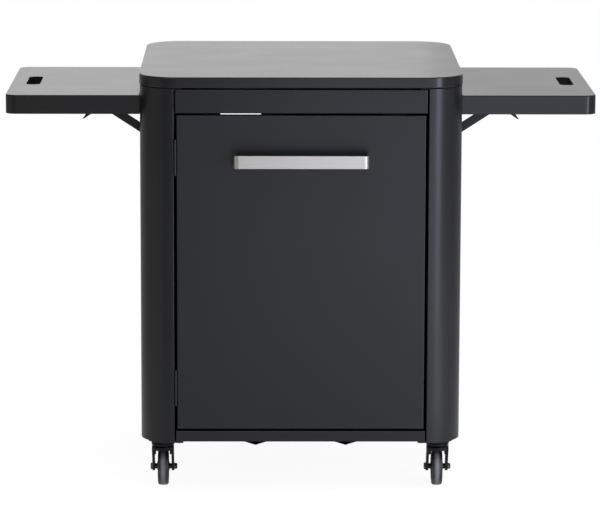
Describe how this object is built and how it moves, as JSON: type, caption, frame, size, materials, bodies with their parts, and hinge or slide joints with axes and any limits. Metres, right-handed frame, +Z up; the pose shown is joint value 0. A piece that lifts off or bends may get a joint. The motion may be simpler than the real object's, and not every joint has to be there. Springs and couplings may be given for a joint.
{
  "type": "grill cart",
  "caption": "Sheet-steel grill cart with rounded corner posts, a flat worktop, a hinged door with a bar handle, fold-down side shelves on struts and swivel casters.",
  "frame": {"origin": "on the floor, under the middle of the cart's overall box", "axes": "+X to the right seen from the front, the door faces -Y, +Z up"},
  "size_m": [1.15, 0.6644, 0.82],
  "materials": {
    "black_powder_coat": "satin black powder coat with fine texture",
    "brushed_stainless": "brushed along its length",
    "zinc_plated_steel": "zinc plated, semi-bright",
    "wheel_rubber": "moulded grey-black rubber",
    "wheel_nylon": "moulded black nylon",
    "catch_plastic": "moulded black plastic"
  },
  "bodies": {
    "cabinet": {"back_panel": "black_powder_coat", "bottom_gussets": "black_powder_coat", "caster_mounts": "black_powder_coat", "door_catch": "catch_plastic", "floor_panel": "black_powder_coat", "front_bottom_rail": "black_powder_coat", "front_fascia": "black_powder_coat", "front_left_post": "black_powder_coat", "front_right_post": "black_powder_coat", "hinge_frame_leaf_lower": "black_powder_coat", "hinge_frame_leaf_upper": "black_powder_coat", "hinge_pins": "zinc_plated_steel", "left_bracket_pins": "zinc_plated_steel", "left_side_panel": "black_powder_coat", "left_wall_brackets": "black_powder_coat", "rear_left_post": "black_powder_coat", "rear_right_post": "black_powder_coat", "right_bracket_pins": "zinc_plated_steel", "right_side_panel": "black_powder_coat", "right_wall_brackets": "black_powder_coat", "top_gussets": "black_powder_coat", "worktop": "black_powder_coat"},
    "door": {"catch_strike": "zinc_plated_steel", "door_handle": "brushed_stainless", "door_liner": "black_powder_coat", "door_panel": "black_powder_coat", "hinge_door_leaf_lower": "black_powder_coat", "hinge_door_leaf_upper": "black_powder_coat"},
    "front_left_caster": {"front_left_caster_axle": "zinc_plated_steel", "front_left_caster_fork": "black_powder_coat"},
    "front_left_release_lever": {"front_left_release_lever": "black_powder_coat"},
    "left_struts": {"front_left_strut": "black_powder_coat", "left_strut_pins": "zinc_plated_steel", "rear_left_strut": "black_powder_coat"},
    "front_left_wheel": {"front_left_wheel_hub": "wheel_nylon", "front_left_wheel_tyre": "wheel_rubber"},
    "front_right_caster": {"front_right_caster_axle": "zinc_plated_steel", "front_right_caster_fork": "black_powder_coat"},
    "front_right_release_lever": {"front_right_release_lever": "black_powder_coat"},
    "right_struts": {"front_right_strut": "black_powder_coat", "rear_right_strut": "black_powder_coat", "right_strut_pins": "zinc_plated_steel"},
    "front_right_wheel": {"front_right_wheel_hub": "wheel_nylon", "front_right_wheel_tyre": "wheel_rubber"},
    "left_shelf": {"left_shelf_channels": "black_powder_coat", "left_shelf_tray": "black_powder_coat"},
    "rear_left_caster": {"rear_left_caster_axle": "zinc_plated_steel", "rear_left_caster_fork": "black_powder_coat"},
    "rear_left_release_lever": {"rear_left_release_lever": "black_powder_coat"},
    "rear_left_wheel": {"rear_left_wheel_hub": "wheel_nylon", "rear_left_wheel_tyre": "wheel_rubber"},
    "rear_right_caster": {"rear_right_caster_axle": "zinc_plated_steel", "rear_right_caster_fork": "black_powder_coat"},
    "rear_right_release_lever": {"rear_right_release_lever": "black_powder_coat"},
    "rear_right_wheel": {"rear_right_wheel_hub": "wheel_nylon", "rear_right_wheel_tyre": "wheel_rubber"},
    "right_shelf": {"right_shelf_channels": "black_powder_coat", "right_shelf_tray": "black_powder_coat"}
  },
  "joints": [
    {"name": "door_swing", "type": "hinge", "parent": "cabinet", "child": "door", "pos_m": [-0.243, -0.29075, 0.43725], "axis": [0, 0, -1], "range_deg": [0, 115]},
    {"name": "left_shelf_fold", "type": "hinge", "parent": "cabinet", "child": "left_shelf", "pos_m": [-0.3235, 0.00975, 0.743], "axis": [0, -1, 0], "range_deg": [0, 90]},
    {"name": "left_strut_fold", "type": "hinge", "parent": "cabinet", "child": "left_struts", "pos_m": [-0.307, 0.00975, 0.7046], "axis": [0, -1, 0], "range_deg": [0, 102.7]},
    {"name": "front_left_lever_lift", "type": "hinge", "parent": "left_shelf", "child": "front_left_release_lever", "pos_m": [-0.3885, -0.19725, 0.7645], "axis": [0, 1, 0], "range_deg": [0, 12]},
    {"name": "front_left_caster_swivel", "type": "hinge", "parent": "cabinet", "child": "front_left_caster", "pos_m": [-0.27, -0.24725, 0.09], "axis": [0, 0, 1], "continuous": true},
    {"name": "front_left_wheel_roll", "type": "hinge", "parent": "front_left_caster", "child": "front_left_wheel", "pos_m": [-0.27, -0.21925, 0.0375], "axis": [1, 0, 0], "continuous": true},
    {"name": "rear_left_lever_lift", "type": "hinge", "parent": "left_shelf", "child": "rear_left_release_lever", "pos_m": [-0.3885, 0.21675, 0.7645], "axis": [0, 1, 0], "range_deg": [0, 12]},
    {"name": "rear_left_caster_swivel", "type": "hinge", "parent": "cabinet", "child": "rear_left_caster", "pos_m": [-0.27, 0.26675, 0.09], "axis": [0, 0, 1], "continuous": true},
    {"name": "rear_left_wheel_roll", "type": "hinge", "parent": "rear_left_caster", "child": "rear_left_wheel", "pos_m": [-0.27, 0.29475, 0.0375], "axis": [1, 0, 0], "continuous": true},
    {"name": "right_shelf_fold", "type": "hinge", "parent": "cabinet", "child": "right_shelf", "pos_m": [0.3235, 0.00975, 0.743], "axis": [0, 1, 0], "range_deg": [0, 90]},
    {"name": "right_strut_fold", "type": "hinge", "parent": "cabinet", "child": "right_struts", "pos_m": [0.307, 0.00975, 0.7046], "axis": [0, 1, 0], "range_deg": [0, 102.7]},
    {"name": "front_right_lever_lift", "type": "hinge", "parent": "right_shelf", "child": "front_right_release_lever", "pos_m": [0.3885, -0.19725, 0.7645], "axis": [0, -1, 0], "range_deg": [0, 12]},
    {"name": "front_right_caster_swivel", "type": "hinge", "parent": "cabinet", "child": "front_right_caster", "pos_m": [0.27, -0.24725, 0.09], "axis": [0, 0, 1], "continuous": true},
    {"name": "front_right_wheel_roll", "type": "hinge", "parent": "front_right_caster", "child": "front_right_wheel", "pos_m": [0.27, -0.21925, 0.0375], "axis": [1, 0, 0], "continuous": true},
    {"name": "rear_right_lever_lift", "type": "hinge", "parent": "right_shelf", "child": "rear_right_release_lever", "pos_m": [0.3885, 0.21675, 0.7645], "axis": [0, -1, 0], "range_deg": [0, 12]},
    {"name": "rear_right_caster_swivel", "type": "hinge", "parent": "cabinet", "child": "rear_right_caster", "pos_m": [0.27, 0.26675, 0.09], "axis": [0, 0, 1], "continuous": true},
    {"name": "rear_right_wheel_roll", "type": "hinge", "parent": "rear_right_caster", "child": "rear_right_wheel", "pos_m": [0.27, 0.29475, 0.0375], "axis": [1, 0, 0], "continuous": true}
  ],
  "couplings": [
    {"joint": "left_strut_fold", "follows": "left_shelf_fold", "ratio": 1.14},
    {"joint": "right_strut_fold", "follows": "right_shelf_fold", "ratio": 1.14}
  ]
}
